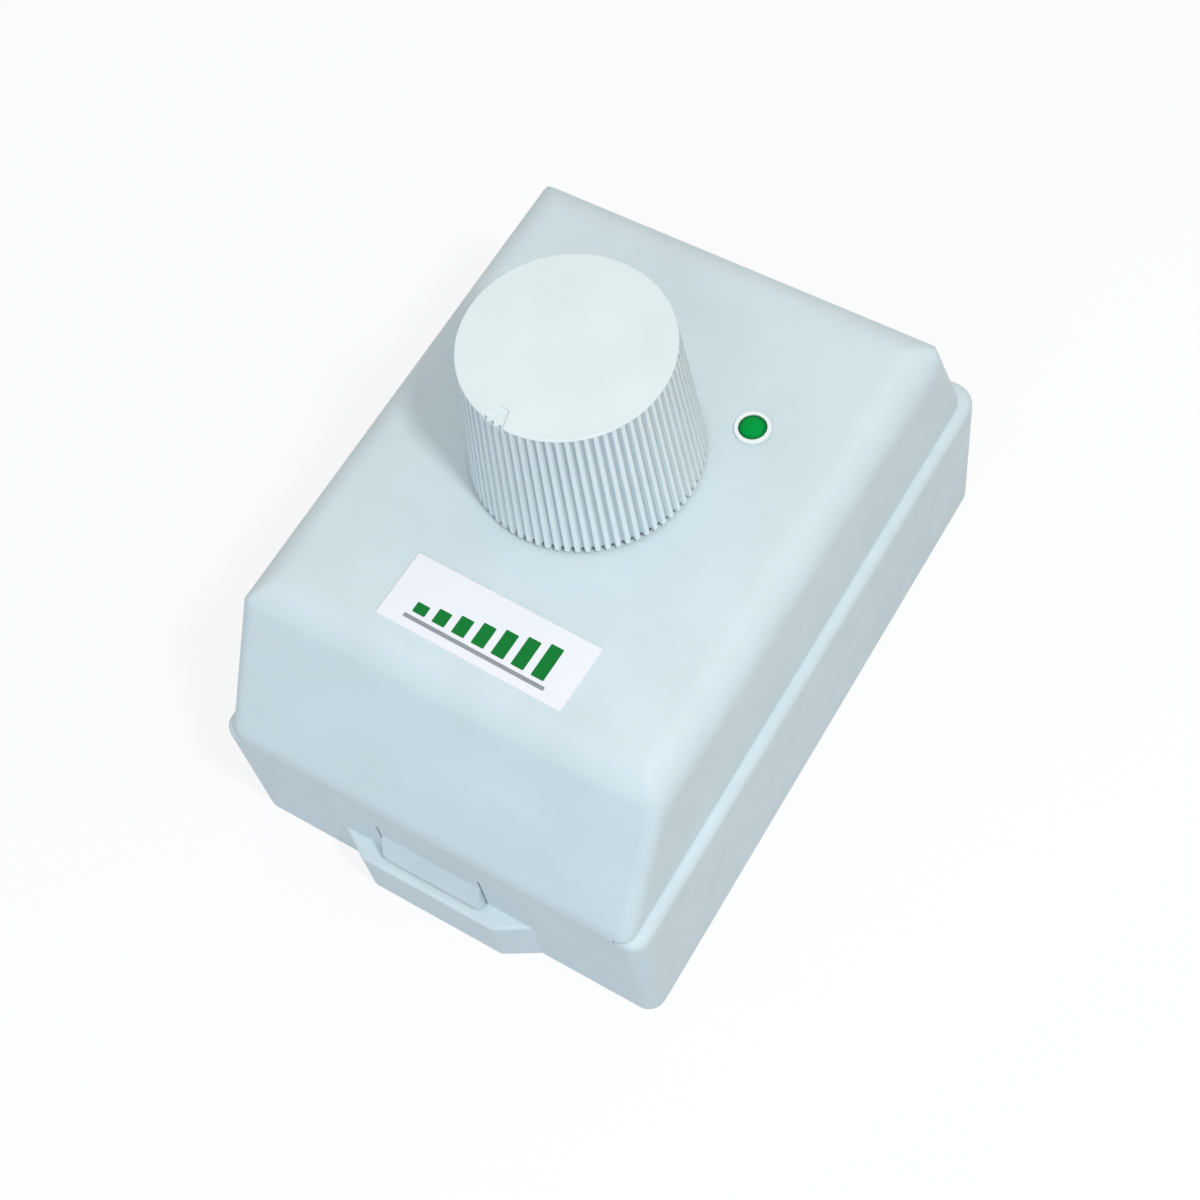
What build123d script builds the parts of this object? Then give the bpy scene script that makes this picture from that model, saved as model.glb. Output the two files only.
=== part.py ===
"""Surface-mounted rotary dimmer for a ceiling fan or a lamp.

Millimetres. The origin is the centre of the box's back, which lies on the wall. +Z comes out of the wall,
+Y runs along the long side away from the pull tab, and +X completes a right-handed frame.
"""

import os
from math import cos, pi, sin

from build123d import *

# Wall box
box_width = 53.0
box_length = 76.0
box_height = 20.0
box_wall = 2.0
box_floor = 2.0
box_front_corner = 2.0
box_back_corner = 2.9
box_inner_corner = 1.0
box_rim_round = 1.2

# Pull tab at the front end
tab_x = -0.5
tab_reach = 2.3
tab_height = 8.0
tab_root_width = 24.8
tab_tip_width = 17.0
tab_corner = 1.3
tab_edge_round = 0.4

# Release latch in the front wall, hinged at its top edge
latch_width = 12.8
latch_height = 6.3
latch_thickness = 1.45
latch_slit = 0.3
latch_lip_reach = 1.2
latch_lip_height = 4.0
latch_lip_edge = 0.5
latch_lip_corner = 0.7
latch_clearance = 0.1

# Wall screws and cable entry in the box floor
screw_end_gap = 10.5
screw_hole_radius = 2.2
screw_boss_radius = 4.5
screw_boss_height = 1.2
entry_width = 18.0
entry_length = 14.0
entry_corner = 3.0
entry_rim_width = 1.2
entry_rim_height = 1.0

# Cover shell
cover_height = 18.0
cover_wall = 2.0
side_ledge = 1.3
back_ledge = 1.5
front_slant = 10.0
back_slant = 6.25
crease_height = 0.4
crease_round = 4.6
cover_front_round = 4.8
cover_back_round = 4.2
cover_side_round = 4.0
cover_front_corner = 1.6
cover_back_corner = 2.4
cover_inner_corner = 0.4
apron_drop = 1.0
apron_margin = 0.3

# Locating lip, hook arm and back nibs under the cover
lip_depth = 2.5
lip_rise = 1.6
lip_thickness = 1.4
lip_corner = 2.2
lip_clearance = 0.25
hook_width = 10.4
hook_thickness = 1.4
hook_bead_height = 1.2
hook_overlap = 0.3
nib_spacing = 28.0
nib_width = 6.0
nib_height = 1.0
nib_reach = 0.35
nib_clearance = 0.15

# Knob
knob_x = -1.5
knob_y = 2.0
knob_foot_radius = 12.4
knob_head_radius = 10.9
knob_height = 18.6
knob_gap = 0.4
knob_wall = 1.9
knob_cap = 2.6
knob_rim = 0.25
knob_edge_round = 0.12
flute_count = 74
flute_depth = 0.36
flute_share = 0.5
hub_radius = 5.2
hub_lift = 4.6
pointer_angle = -98.6
pointer_inner_width = 0.9
pointer_outer_width = 2.6
pointer_length = 2.0
pointer_depth = 0.25

# Rotary control
shaft_radius = 3.0
shaft_length = 15.0
shaft_flat = 1.5
neck_radius = 3.5
neck_length = 4.0
running_gap = 0.05
fit_gap = 0.03
flange_thickness = 1.2
washer_radius = 6.2
washer_thickness = 0.6
nut_flats = 10.0
nut_thickness = 2.2
can_radius = 8.3
can_depth = 7.2
can_sheet = 0.5
track_thickness = 1.0
track_tongue_width = 13.0
track_tongue_reach = 1.0
wiper_radius = 6.4
wiper_width = 3.0
wiper_thickness = 0.5
wiper_gap = 0.3
wiper_hub_radius = 4.4
wiper_hub_height = 1.4
leg_width = 1.1
leg_thickness = 0.4
leg_pitch = 5.0
leg_reach = 1.6

# Switch behind the control
switch_radius = 7.9
switch_depth = 10.0
switch_wall = 1.2
cam_radius = 4.2
cam_height = 3.0
cam_lobe_reach = 1.6
cam_lobe_width = 2.4
switch_leg_pitch = 7.0
switch_leg_rise = 5.0
cam_turn_gap = 30.0
contact_length = 1.7
contact_thickness = 0.4

# Circuit board and the posts it hangs from
board_side_gap = 4.5
board_front_gap = 9.5
board_back_gap = 6.5
board_thickness = 1.6
board_corner = 1.5
board_gap = 0.5
post_inset = 4.0
post_radius = 2.6
pilot_radius = 1.0
pilot_depth = 7.0
board_screw_radius = 0.95
board_screw_length = 7.5
board_screw_head_radius = 2.3
board_screw_head_height = 1.6
board_screw_slot = 0.5
board_hole_radius = 1.4

# Indicator lamp
lamp_right_of_knob = 13.9
lamp_behind_knob = 10.1
lamp_radius = 1.5
lamp_length = 5.0
lamp_dome = 0.35
lamp_proud = 0.1
lamp_rim_radius = 1.9
lamp_rim_height = 1.0
lamp_leg_pitch = 2.54
wire_width = 0.5
bezel_radius = 1.95
bezel_barrel_radius = 1.78
bezel_flange = 0.25

# Sticker
label_width = 22.4
label_length = 7.9
label_x = 0.6
label_setback = 17.25
label_tilt = -1.5
label_thickness = 0.12
label_corner = 0.2

# Power switch, its plate, screw and nut
triac_x = 0.0
triac_inset = 10.5
triac_width = 10.2
triac_body_depth = 3.2
triac_body_height = 9.0
triac_tab_height = 15.4
triac_tab_thickness = 1.3
triac_hole_radius = 1.8
triac_hole_drop = 2.8
triac_lift = 3.2
triac_leg_width = 0.8
triac_leg_thickness = 0.5
triac_leg_pitch = 2.54
sink_post_gap = 1.4
sink_height = 17.5
sink_sheet = 1.5
sink_fold = 5.5
sink_fold_round = 2.2
triac_screw_radius = 1.5
triac_screw_head_radius = 2.6
triac_screw_head_height = 1.8
triac_nut_flats = 5.5
triac_nut_thickness = 2.4

# Suppression choke
choke_inset = 5.5
core_radius = 2.5
core_length = 26.0
core_chamfer = 0.2
choke_wire = 0.9
choke_pitch = 1.45
choke_turns = 14
choke_gap = 0.05
choke_lift = 0.6

# Capacitors
film_inset = 6.5
film_before_knob = 5.5
film_width = 6.0
film_length = 13.0
film_height = 12.0
film_lift = 0.5
film_leg_pitch = 10.0
timing_x = 9.0
timing_before_knob = 16.0
timing_width = 7.2
timing_depth = 2.6
timing_height = 6.5
timing_leg_pitch = 5.0

# Axial parts: fuse, resistors and trigger diode
axial_lift = 0.5
fuse_x = 0.0
fuse_inset = 3.5
fuse_radius = 2.4
fuse_length = 20.0
fuse_cap_length = 5.0
fuse_cap_sheet = 0.2
resistor_count = 3
resistor_x = -6.0
resistor_before_knob = 19.0
resistor_step = 3.1
resistor_radius = 1.2
resistor_waist = 1.0
resistor_end_length = 1.4
resistor_length = 6.3
diode_x = 10.0
diode_before_knob = 20.3
diode_radius = 0.9
diode_length = 3.8
axial_leg_reach = 1.6

# Terminal block under the board
block_x = 0.0
block_inset = 12.0
block_width = 17.0
block_length = 10.0
block_height = 10.0
block_round = 0.6
way_pitch = 7.5
way_radius = 1.7
way_depth = 8.0
clamp_width = 4.6
clamp_length = 5.0
clamp_height = 5.6
clamp_drop = 3.0
clamp_screw_radius = 1.5
clamp_screw_head_radius = 1.9
clamp_screw_length = 1.1
clamp_screw_slot = 0.6
clamp_screw_sink = 0.6
clamp_clearance = 0.05

# Heights and faces that follow from the sizes above
box_front = -box_length / 2
box_back = box_length / 2
box_inside = box_front + box_wall
screw_places = ((0, box_front + screw_end_gap), (0, box_back - screw_end_gap))
cover_half_width = box_width / 2 - side_ledge
cover_back = box_back - back_ledge
cover_crown = box_height + cover_height
cover_ceiling = cover_crown - cover_wall
apron_foot = box_height - apron_drop
apron_half_width = cover_half_width - cover_front_corner - apron_margin
knob_foot = cover_crown + knob_gap
knob_head = knob_foot + knob_height
hub_foot = knob_foot + hub_lift
neck_top = cover_crown + neck_length
latch_foot = tab_height + latch_slit
latch_top = latch_foot + latch_height
latch_back = box_front + latch_thickness
window_half_width = latch_width / 2 + latch_slit
lip_half_width = box_width / 2 - box_wall - lip_clearance
lip_half_length = box_length / 2 - box_wall - lip_clearance
lip_foot = box_height - lip_depth
bead_foot = latch_foot + latch_lip_edge
bead_front = latch_back - hook_overlap
bead_clear_front = bead_front - latch_clearance
channel_width = hook_width + 2 * latch_slit
cover_crease_limit = box_height + 2 * crease_height + cover_wall
nib_back = box_back - box_wall + nib_reach
flange_foot = cover_ceiling - flange_thickness
can_foot = flange_foot - can_depth
track_foot = can_foot + can_sheet
track_top = track_foot + track_thickness
switch_foot = can_foot - switch_depth
cam_top = can_foot - switch_wall - switch_wall / 2
cam_foot = cam_top - cam_height
shaft_top = cover_crown + shaft_length
shaft_foot = cam_foot - switch_wall / 2
board_top = switch_foot - board_gap
board_foot = board_top - board_thickness
block_foot = board_foot - block_height
clamp_foot = block_foot + clamp_drop
way_level = clamp_foot + clamp_height / 2

# Places that follow from the sizes above
lamp_x = knob_x + lamp_right_of_knob
lamp_y = knob_y + lamp_behind_knob
label_y = box_front + label_setback
board_front = box_front + board_front_gap
board_back = box_back - board_back_gap
board_right = box_width / 2 - board_side_gap
board_y = (board_front + board_back) / 2
board_width = 2 * board_right
board_length = board_back - board_front
post_spacing_x = board_width - 2 * post_inset
post_spacing_y = board_length - 2 * post_inset
sink_width = post_spacing_x - 2 * (post_radius + sink_post_gap)
triac_y = board_back - triac_inset
block_y = board_back - block_inset
choke_x = choke_inset - board_right
choke_y = board_y
film_x = board_right - film_inset
film_y = knob_y - film_before_knob
timing_y = knob_y - timing_before_knob
resistor_y = knob_y - resistor_before_knob
diode_y = knob_y - diode_before_knob
fuse_y = board_front + fuse_inset


def keep(piece, label):
    """Names a finished piece and writes it to its own file."""
    piece.label = label
    os.makedirs("parts", exist_ok=True)
    export_step(piece, f"parts/{label}.step")


def slab(width, length, height, centre):
    """A plain block standing on its centre point, kept outside any builder."""
    aligned = (Align.CENTER, Align.CENTER, Align.MIN)
    return Pos(*centre) * Box(width, length, height, align=aligned, mode=Mode.PRIVATE)


def heading(angle):
    """The level direction at an angle in degrees, counted from +X towards +Y."""
    return (cos(angle * pi / 180), sin(angle * pi / 180), 0)


def knob_plane(level, turn=0):
    """The horizontal plane at a height, centred on the knob's axis and turned about it in degrees."""
    return Plane((knob_x, knob_y, level), x_dir=heading(turn))


# Wall box: tray, pull tab, window for the latch, screw holes and cable entry
with BuildPart() as base_housing:
    with BuildSketch(Plane.XY) as box_plan:
        Rectangle(box_width, box_length)
        fillet(box_plan.vertices().group_by(Axis.Y)[0], box_front_corner)
        fillet(box_plan.vertices().group_by(Axis.Y)[-1], box_back_corner)
    extrude(amount=box_height)
    fillet(base_housing.faces().sort_by(Axis.Z)[-1].edges(), box_rim_round)
    with BuildSketch(Plane.XY):
        with BuildLine():
            Polyline(
                (tab_x - tab_root_width / 2, box_front),
                (tab_x - tab_tip_width / 2, box_front - tab_reach),
                (tab_x + tab_tip_width / 2, box_front - tab_reach),
                (tab_x + tab_root_width / 2, box_front),
                (tab_x + tab_root_width / 2, box_inside),
                (tab_x - tab_root_width / 2, box_inside),
                close=True,
            )
        make_face()
    extrude(amount=tab_height)
    fillet(base_housing.edges().filter_by(Axis.Z).group_by(Axis.Y)[0], tab_corner)
    tab_rim = base_housing.edges().filter_by_position(Axis.Z, tab_height - fit_gap, tab_height + fit_gap)
    fillet(tab_rim.filter_by_position(Axis.Y, box_front - 2 * tab_reach, box_front - fit_gap), tab_edge_round)
    with BuildSketch(Plane.XY.offset(box_floor)):
        RectangleRounded(box_width - 2 * box_wall, box_length - 2 * box_wall, box_inner_corner)
    extrude(amount=box_height, mode=Mode.SUBTRACT)
    with BuildSketch(Plane.XY.offset(box_floor)):
        with Locations(*screw_places):
            Circle(screw_boss_radius)
    extrude(amount=screw_boss_height)
    with BuildSketch(Plane.XY.offset(box_floor)):
        RectangleRounded(
            entry_width + 2 * entry_rim_width,
            entry_length + 2 * entry_rim_width,
            entry_corner + entry_rim_width,
        )
    extrude(amount=entry_rim_height)
    with BuildSketch(Plane.XY):
        with Locations(*screw_places):
            Circle(screw_hole_radius)
        RectangleRounded(entry_width, entry_length, entry_corner)
    extrude(amount=box_height, mode=Mode.SUBTRACT)
    # Window for the latch, then the channel above it that lets the cover's hook pass
    add(
        slab(2 * window_half_width, 2 * box_wall, latch_top - tab_height, (tab_x, box_front, tab_height)),
        mode=Mode.SUBTRACT,
    )
    with BuildSketch(Plane.XY.offset(latch_top)):
        with Locations((tab_x, bead_clear_front)):
            Rectangle(channel_width, box_wall, align=(Align.CENTER, Align.MIN))
    extrude(amount=box_height, mode=Mode.SUBTRACT)
    # Seat for the cover's apron in the front rim
    with BuildSketch(Plane.XY.offset(apron_foot)):
        with Locations((0, box_front)):
            Rectangle(2 * (apron_half_width + fit_gap), 2 * box_wall)
    extrude(amount=box_height, mode=Mode.SUBTRACT)
    # Two blind pockets in the back wall for the cover's nibs
    with BuildSketch(Plane.XY.offset(lip_foot - nib_clearance)):
        pocket_back = nib_back + nib_clearance
        with Locations((-nib_spacing / 2, pocket_back), (nib_spacing / 2, pocket_back)):
            Rectangle(nib_width + 2 * nib_clearance, box_wall, align=(Align.CENTER, Align.MAX))
    extrude(amount=nib_height + 2 * nib_clearance, mode=Mode.SUBTRACT)
keep(base_housing.part, "base_housing")

# Release latch: a flap whose lip stands over the pull tab
with BuildPart() as release_latch:
    with BuildSketch(Plane.YZ.offset(tab_x)):
        with BuildLine():
            Polyline(
                (latch_back, latch_top),
                (box_front, latch_top),
                (box_front, latch_foot + latch_lip_height),
                (box_front - latch_lip_reach, latch_foot + latch_lip_edge),
                (box_front - latch_lip_reach, latch_foot),
                (latch_back, latch_foot),
                close=True,
            )
        make_face()
    extrude(amount=latch_width / 2, both=True)
    with BuildSketch(Plane.XY.offset(latch_foot)) as latch_plan:
        with Locations((tab_x, latch_back)):
            Rectangle(latch_width, latch_thickness + latch_lip_reach, align=(Align.CENTER, Align.MAX))
        fillet(latch_plan.vertices().group_by(Axis.Y)[0], latch_lip_corner)
    extrude(amount=latch_height, mode=Mode.INTERSECT)
    with BuildSketch(Plane.XY.offset(bead_foot - latch_clearance)):
        with Locations((tab_x, bead_clear_front)):
            Rectangle(channel_width, box_wall, align=(Align.CENTER, Align.MIN))
    extrude(amount=hook_bead_height + 2 * latch_clearance, mode=Mode.SUBTRACT)
keep(release_latch.part, "release_latch")


def cover_corners(drop):
    """Corner points of the cover's side view, from a drop below the box's rim up to the crown."""
    return (
        (box_front, box_height - drop),
        (box_front, box_height + crease_height),
        (box_front + front_slant, cover_crown),
        (cover_back - back_slant, cover_crown),
        (cover_back, box_height + crease_height),
        (cover_back, box_height - drop),
    )


def cover_side(inset, drop):
    """The cover's side view with sharp crown corners, every edge drawn in by the same inset."""
    with BuildSketch() as side:
        with BuildLine():
            Polyline(*cover_corners(drop), close=True)
        make_face()
        offset(amount=-inset, kind=Kind.INTERSECTION, mode=Mode.REPLACE)
        crease_points = side.vertices().filter_by_position(Axis.Y, box_height, cover_crease_limit)
        fillet(crease_points, crease_round - inset)
    return side.sketch


def cover_block(inset, drop, front_corner, back_corner):
    """The cover's rounded block, with every face drawn in by the same inset, its foot below the rim."""
    foot = box_height - drop + inset
    crown = cover_crown - inset
    with BuildPart() as block:
        with BuildSketch(Plane.YZ):
            add(cover_side(inset, drop))
        extrude(amount=cover_half_width - inset, both=True)
        for places, radius in (((box_front, 0), front_corner), ((0, cover_back), back_corner)):
            corners = block.faces().filter_by(Axis.X).edges().filter_by_position(Axis.Y, *places)
            fillet(corners.filter_by_position(Axis.Z, foot + fit_gap, crown - fit_gap), radius)
        # The crown's wider rounds come from a side view and an end view that trim the block
        with BuildSketch(Plane.YZ.offset(-box_width)) as side:
            add(cover_side(inset, drop))
            fillet(side.vertices().group_by(Axis.Y)[-1].sort_by(Axis.X)[0], cover_front_round - inset)
            fillet(side.vertices().group_by(Axis.Y)[-1].sort_by(Axis.X)[-1], cover_back_round - inset)
        extrude(amount=2 * box_width, mode=Mode.INTERSECT)
        with BuildSketch(Plane.XZ.offset(-box_length)) as end:
            with Locations((0, crown)):
                Rectangle(2 * (cover_half_width - inset), cover_crown, align=(Align.CENTER, Align.MAX))
            fillet(end.vertices().group_by(Axis.Y)[-1], cover_side_round - inset)
        extrude(amount=2 * box_length, mode=Mode.INTERSECT)
    return block.part


# Cover: slanted shell, locating lip, hook arm, nibs and board posts
with BuildPart() as cover:
    add(cover_block(0, apron_drop, cover_front_corner, cover_back_corner))
    with BuildSketch(Plane.XY.offset(apron_foot)):
        Rectangle(2 * box_width, 2 * box_length)
        with Locations((0, box_inside)):
            Rectangle(2 * apron_half_width, box_wall * 2, align=(Align.CENTER, Align.MAX), mode=Mode.SUBTRACT)
    extrude(amount=apron_drop, mode=Mode.SUBTRACT)
    hollow = cover_block(cover_wall, apron_drop + 2 * cover_wall, cover_inner_corner, cover_inner_corner)
    add(hollow, mode=Mode.SUBTRACT)
    with BuildSketch(Plane.XY.offset(lip_foot)):
        RectangleRounded(2 * lip_half_width, 2 * lip_half_length, lip_corner)
        Rectangle(
            2 * (lip_half_width - lip_thickness), 2 * (lip_half_length - lip_thickness), mode=Mode.SUBTRACT
        )
    extrude(amount=lip_depth + lip_rise)
    # Hook arm behind the latch, with its bead at the foot
    with BuildSketch(Plane.XY.offset(bead_foot)):
        with Locations((tab_x, -lip_half_length)):
            Rectangle(hook_width, hook_thickness, align=(Align.CENTER, Align.MIN))
    extrude(amount=box_height - bead_foot)
    with BuildSketch(Plane.XY.offset(bead_foot)):
        with Locations((tab_x, bead_front)):
            Rectangle(hook_width, hook_thickness, align=(Align.CENTER, Align.MIN))
    extrude(amount=hook_bead_height)
    with BuildSketch(Plane.XY.offset(lip_foot)):
        with Locations((-nib_spacing / 2, nib_back), (nib_spacing / 2, nib_back)):
            Rectangle(nib_width, lip_thickness, align=(Align.CENTER, Align.MAX))
    extrude(amount=nib_height)
    with BuildSketch(Plane.XY.offset(board_top)):
        with Locations((0, board_y)):
            with GridLocations(post_spacing_x, post_spacing_y, 2, 2):
                Circle(post_radius)
    extrude(amount=cover_ceiling - board_top)
    with BuildSketch(Plane.XY.offset(board_top)):
        with Locations((0, board_y)):
            with GridLocations(post_spacing_x, post_spacing_y, 2, 2):
                Circle(pilot_radius)
    extrude(amount=pilot_depth, mode=Mode.SUBTRACT)
    with BuildSketch(Plane.XY.offset(cover_ceiling)):
        with Locations((knob_x, knob_y)):
            Circle(neck_radius + latch_clearance)
        with Locations((lamp_x, lamp_y)):
            Circle(bezel_barrel_radius + fit_gap)
    extrude(amount=cover_wall, mode=Mode.SUBTRACT)
keep(cover.part, "cover")

# Sticker on the cover's flat top, in front of the knob
with BuildPart() as front_label:
    with BuildSketch(Plane((label_x, label_y, cover_crown), x_dir=heading(label_tilt))):
        RectangleRounded(label_width, label_length, label_corner)
    extrude(amount=label_thickness)
keep(front_label.part, "front_label")

# Indicator lamp with its rim, and the white ring round it
lamp_shoulder = cover_crown + lamp_proud
lamp_foot = lamp_shoulder - lamp_length

with BuildPart() as lamp_bezel:
    with BuildSketch(Plane.XY.offset(cover_crown)):
        with Locations((lamp_x, lamp_y)):
            Circle(bezel_radius)
    extrude(amount=bezel_flange)
    with BuildSketch(Plane.XY.offset(cover_ceiling)):
        with Locations((lamp_x, lamp_y)):
            Circle(bezel_barrel_radius)
    extrude(amount=cover_wall)
    with BuildSketch(Plane.XY.offset(cover_ceiling)):
        with Locations((lamp_x, lamp_y)):
            Circle(lamp_radius + fit_gap)
    extrude(amount=cover_height, mode=Mode.SUBTRACT)
keep(lamp_bezel.part, "lamp_bezel")

with BuildPart() as lamp_body:
    with BuildSketch(Plane((lamp_x, lamp_y, 0), x_dir=(1, 0, 0), z_dir=(0, -1, 0))):
        with BuildLine():
            dome_radius = (lamp_radius**2 + lamp_dome**2) / (2 * lamp_dome)
            Polyline(
                (0, lamp_shoulder + lamp_dome),
                (0, lamp_foot),
                (lamp_rim_radius, lamp_foot),
                (lamp_rim_radius, lamp_foot + lamp_rim_height),
                (lamp_radius, lamp_foot + lamp_rim_height),
                (lamp_radius, lamp_shoulder),
            )
            RadiusArc((lamp_radius, lamp_shoulder), (0, lamp_shoulder + lamp_dome), -dome_radius)
        make_face()
    revolve(axis=Axis((lamp_x, lamp_y, 0), (0, 0, 1)))
keep(lamp_body.part, "lamp_body")

with BuildPart() as lamp_legs:
    with BuildSketch(Plane.XY.offset(board_top)):
        with Locations((lamp_x, lamp_y)):
            with Locations((-lamp_leg_pitch / 2, 0), (lamp_leg_pitch / 2, 0)):
                Rectangle(wire_width, wire_width)
    extrude(amount=lamp_foot - board_top)
keep(lamp_legs.part, "lamp_legs")


def rim_point(radius, angle):
    """A point on a circle about the knob's axis, the angle in radians."""
    return (radius * cos(angle), radius * sin(angle))


def flute_outline(radius):
    """The closed ring of ribs and hollow grooves at one radius, as a flat face."""
    pitch = 2 * pi / flute_count
    rib = pitch * (1 - flute_share)
    with BuildSketch() as outline:
        with BuildLine():
            for index in range(flute_count):
                start = -rib / 2 + index * pitch
                following = -rib / 2 + (index + 1) % flute_count * pitch
                rib_start = rim_point(radius, start)
                rib_end = rim_point(radius, start + rib)
                groove_floor = rim_point(radius - flute_depth, start + (rib + pitch) / 2)
                ThreePointArc(rib_start, rim_point(radius, start + rib / 2), rib_end)
                ThreePointArc(rib_end, groove_floor, rim_point(radius, following))
        make_face()
    return outline.sketch


# Knob: fluted cone, hollow below, gripping the shaft with its hub, with a pointer notched in its top
pointer_start = knob_head_radius - pointer_length
pointer_flare = (pointer_outer_width - pointer_inner_width) / pointer_length
pointer_reach_width = pointer_inner_width + pointer_flare * (knob_foot_radius - pointer_start)
knob_rim_radius = knob_head_radius + (knob_foot_radius - knob_head_radius) * knob_rim / knob_height
knob_hollow_foot = knob_foot_radius - flute_depth - knob_wall
knob_hollow_top = knob_head_radius - flute_depth - knob_wall
knob_ceiling = knob_head - knob_cap

with BuildPart() as knob:
    with BuildSketch(knob_plane(knob_foot)):
        add(flute_outline(knob_foot_radius))
    with BuildSketch(knob_plane(knob_head - knob_rim)):
        add(flute_outline(knob_rim_radius))
    loft(ruled=True)
    with BuildSketch(knob_plane(knob_head - knob_rim)):
        Circle(knob_rim_radius)
    with BuildSketch(knob_plane(knob_head)):
        Circle(knob_head_radius)
    loft(ruled=True)
    fillet(knob.faces().sort_by(Axis.Z)[-1].edges(), knob_edge_round)
    with BuildSketch(knob_plane(knob_foot)):
        Circle(knob_hollow_foot)
    with BuildSketch(knob_plane(knob_ceiling)):
        Circle(knob_hollow_top)
    loft(ruled=True, mode=Mode.SUBTRACT)
    with BuildSketch(knob_plane(hub_foot)):
        Circle(hub_radius)
    extrude(amount=knob_ceiling - hub_foot)
    with BuildSketch(knob_plane(knob_foot)):
        Circle(shaft_radius + fit_gap)
        with Locations((0, shaft_flat + fit_gap)):
            Rectangle(4 * shaft_radius, 2 * shaft_radius, align=(Align.CENTER, Align.MIN), mode=Mode.SUBTRACT)
    extrude(amount=shaft_top + fit_gap - knob_foot, mode=Mode.SUBTRACT)
    with BuildSketch(knob_plane(knob_head - pointer_depth, pointer_angle)):
        with BuildLine():
            Polyline(
                (pointer_start, -pointer_inner_width / 2),
                (knob_foot_radius, -pointer_reach_width / 2),
                (knob_foot_radius, pointer_reach_width / 2),
                (pointer_start, pointer_inner_width / 2),
                close=True,
            )
        make_face()
    extrude(amount=2 * pointer_depth, mode=Mode.SUBTRACT)
keep(knob.part, "knob")

# Threaded neck of the control, clamped to the cover by its washer and nut
with BuildPart() as pot_bushing:
    with BuildSketch(knob_plane(flange_foot)):
        Circle(can_radius)
    extrude(amount=flange_thickness)
    with BuildSketch(knob_plane(cover_ceiling)):
        Circle(neck_radius)
    extrude(amount=neck_top - cover_ceiling)
    with BuildSketch(knob_plane(flange_foot)):
        Circle(shaft_radius + running_gap)
    extrude(amount=cover_height, mode=Mode.SUBTRACT)
keep(pot_bushing.part, "pot_bushing")

with BuildPart() as pot_washer:
    with BuildSketch(knob_plane(cover_crown)):
        Circle(washer_radius)
        Circle(neck_radius + running_gap, mode=Mode.SUBTRACT)
    extrude(amount=washer_thickness)
keep(pot_washer.part, "pot_washer")

with BuildPart() as pot_nut:
    with BuildSketch(knob_plane(cover_crown + washer_thickness)):
        RegularPolygon(nut_flats / 2, 6, major_radius=False)
        Circle(neck_radius + running_gap, mode=Mode.SUBTRACT)
    extrude(amount=nut_thickness)
keep(pot_nut.part, "pot_nut")

# Shaft with a flat where the knob grips it
with BuildPart() as pot_shaft:
    with BuildSketch(knob_plane(shaft_foot)):
        Circle(shaft_radius)
    extrude(amount=shaft_top - shaft_foot)
    with BuildSketch(knob_plane((neck_top + hub_foot) / 2)):
        with Locations((0, shaft_flat)):
            Rectangle(4 * shaft_radius, 2 * shaft_radius, align=(Align.CENTER, Align.MIN))
    extrude(amount=shaft_length, mode=Mode.SUBTRACT)
keep(pot_shaft.part, "pot_shaft")

# Metal can round the carbon track, open to the neck, with a slot for the track's tongue
with BuildPart() as pot_can:
    with BuildSketch(knob_plane(can_foot)):
        Circle(can_radius)
    extrude(amount=can_depth)
    with BuildSketch(knob_plane(track_foot)):
        Circle(can_radius - can_sheet)
    extrude(amount=can_depth, mode=Mode.SUBTRACT)
    with BuildSketch(knob_plane(can_foot)):
        Circle(shaft_radius + wiper_gap)
    extrude(amount=can_depth, mode=Mode.SUBTRACT)
    with BuildSketch(knob_plane(track_foot)):
        Rectangle(
            track_tongue_width + 2 * fit_gap, can_radius + track_tongue_reach, align=(Align.CENTER, Align.MAX)
        )
    extrude(amount=track_thickness + 2 * leg_thickness, mode=Mode.SUBTRACT)
keep(pot_can.part, "pot_can")

with BuildPart() as pot_track:
    with BuildSketch(knob_plane(track_foot)):
        Circle(can_radius - can_sheet - fit_gap)
        Rectangle(track_tongue_width, can_radius + track_tongue_reach, align=(Align.CENTER, Align.MAX))
        Circle(shaft_radius + wiper_gap, mode=Mode.SUBTRACT)
    extrude(amount=track_thickness)
keep(pot_track.part, "pot_track")

leg_pitches = (-leg_pitch, 0, leg_pitch)
leg_start = wiper_radius + wiper_gap
leg_end = can_radius + leg_reach
with BuildPart() as pot_legs:
    with BuildSketch(knob_plane(track_top)):
        with Locations(*[(place, -leg_start) for place in leg_pitches]):
            Rectangle(leg_width, leg_end - leg_start, align=(Align.CENTER, Align.MAX))
    extrude(amount=leg_thickness)
    with BuildSketch(knob_plane(board_top)):
        with Locations(*[(place, -leg_end) for place in leg_pitches]):
            Rectangle(leg_width, leg_thickness, align=(Align.CENTER, Align.MIN))
    extrude(amount=track_top - board_top)
keep(pot_legs.part, "pot_legs")

# Wiper: a hub on the shaft and an arm over the track
with BuildPart() as pot_wiper:
    with BuildSketch(knob_plane(track_top + wiper_gap)):
        Rectangle(wiper_width, wiper_radius, align=(Align.CENTER, Align.MIN))
        Circle(wiper_hub_radius)
    extrude(amount=wiper_thickness)
    with BuildSketch(knob_plane(track_top + wiper_gap + wiper_thickness)):
        Circle(wiper_hub_radius)
    extrude(amount=wiper_hub_height)
    with BuildSketch(knob_plane(track_top)):
        Circle(shaft_radius + fit_gap)
    extrude(amount=can_depth, mode=Mode.SUBTRACT)
keep(pot_wiper.part, "pot_wiper")

# Mains switch behind the control, worked by a cam on the shaft's tail
switch_leg_places = (-switch_leg_pitch / 2, switch_leg_pitch / 2)

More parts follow.
